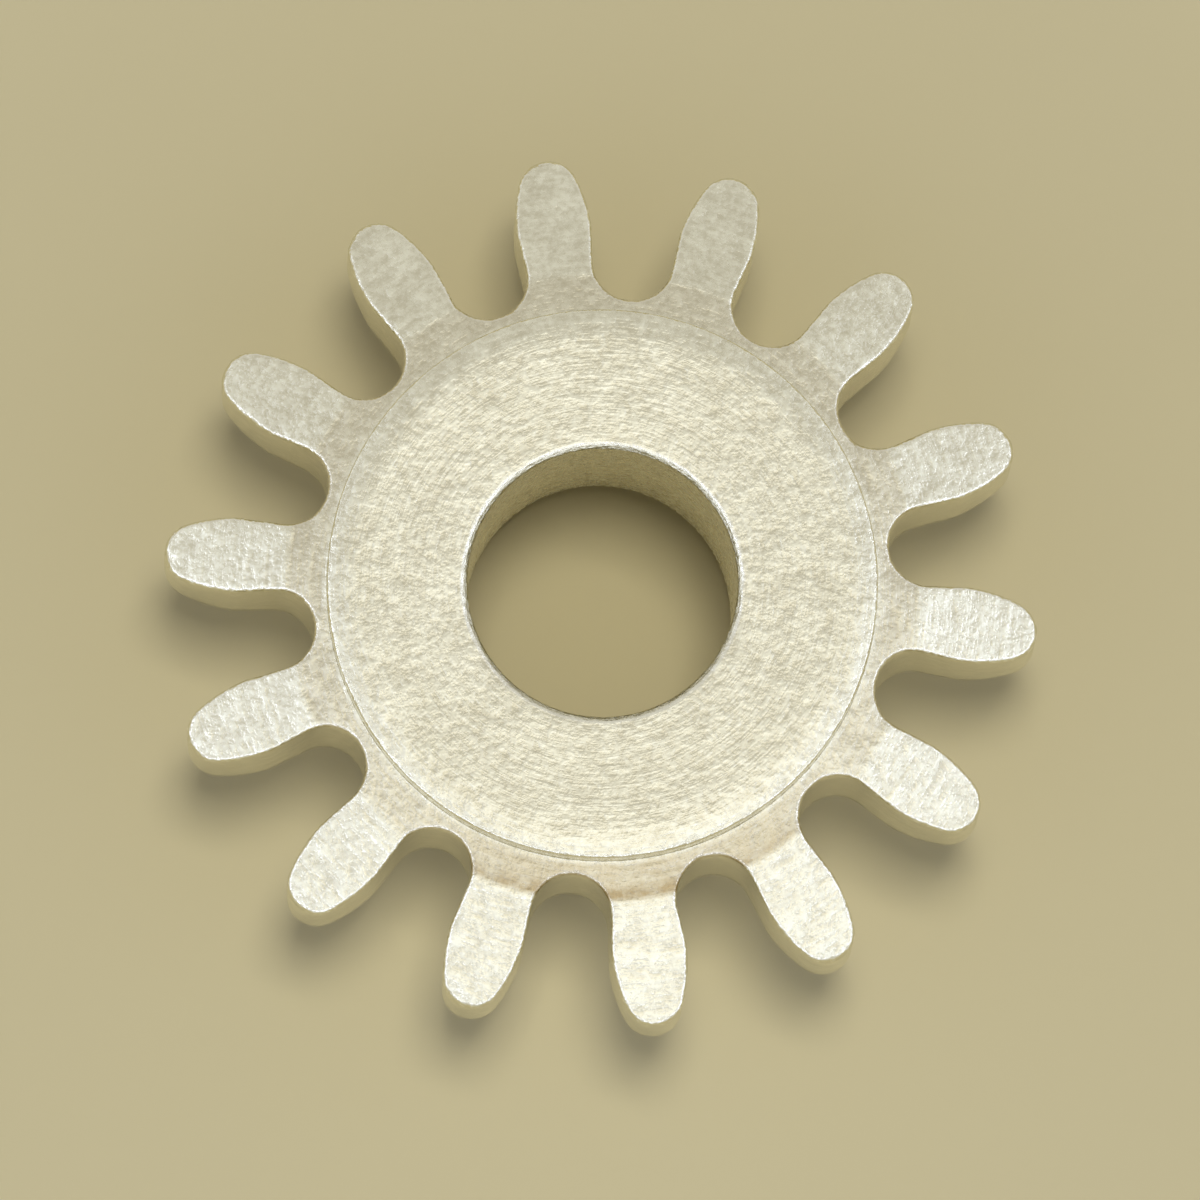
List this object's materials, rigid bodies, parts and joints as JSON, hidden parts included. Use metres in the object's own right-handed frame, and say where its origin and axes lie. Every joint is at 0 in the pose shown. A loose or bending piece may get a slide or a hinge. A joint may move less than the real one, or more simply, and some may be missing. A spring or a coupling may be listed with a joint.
{
  "type": "winding pinion",
  "caption": "Small steel winding pinion: a toothed rim with a raised hub, a smooth through bore and a collar with saw-shaped ratchet teeth on its back.",
  "frame": {"origin": "on the bore axis, in the plane of the ratchet teeth's tips, which the pinion stands on", "axes": "+Z along the bore axis towards the plain front face with the hub; +X through the middle of one tooth"},
  "size_m": [0.004, 0.0038, 0.0017],
  "materials": {
    "steel": "fine matt bright steel with a slight warm cast, polished thin edges and cut flanks"
  },
  "bodies": {
    "root": {"winding_pinion": "steel"}
  },
  "joints": []
}
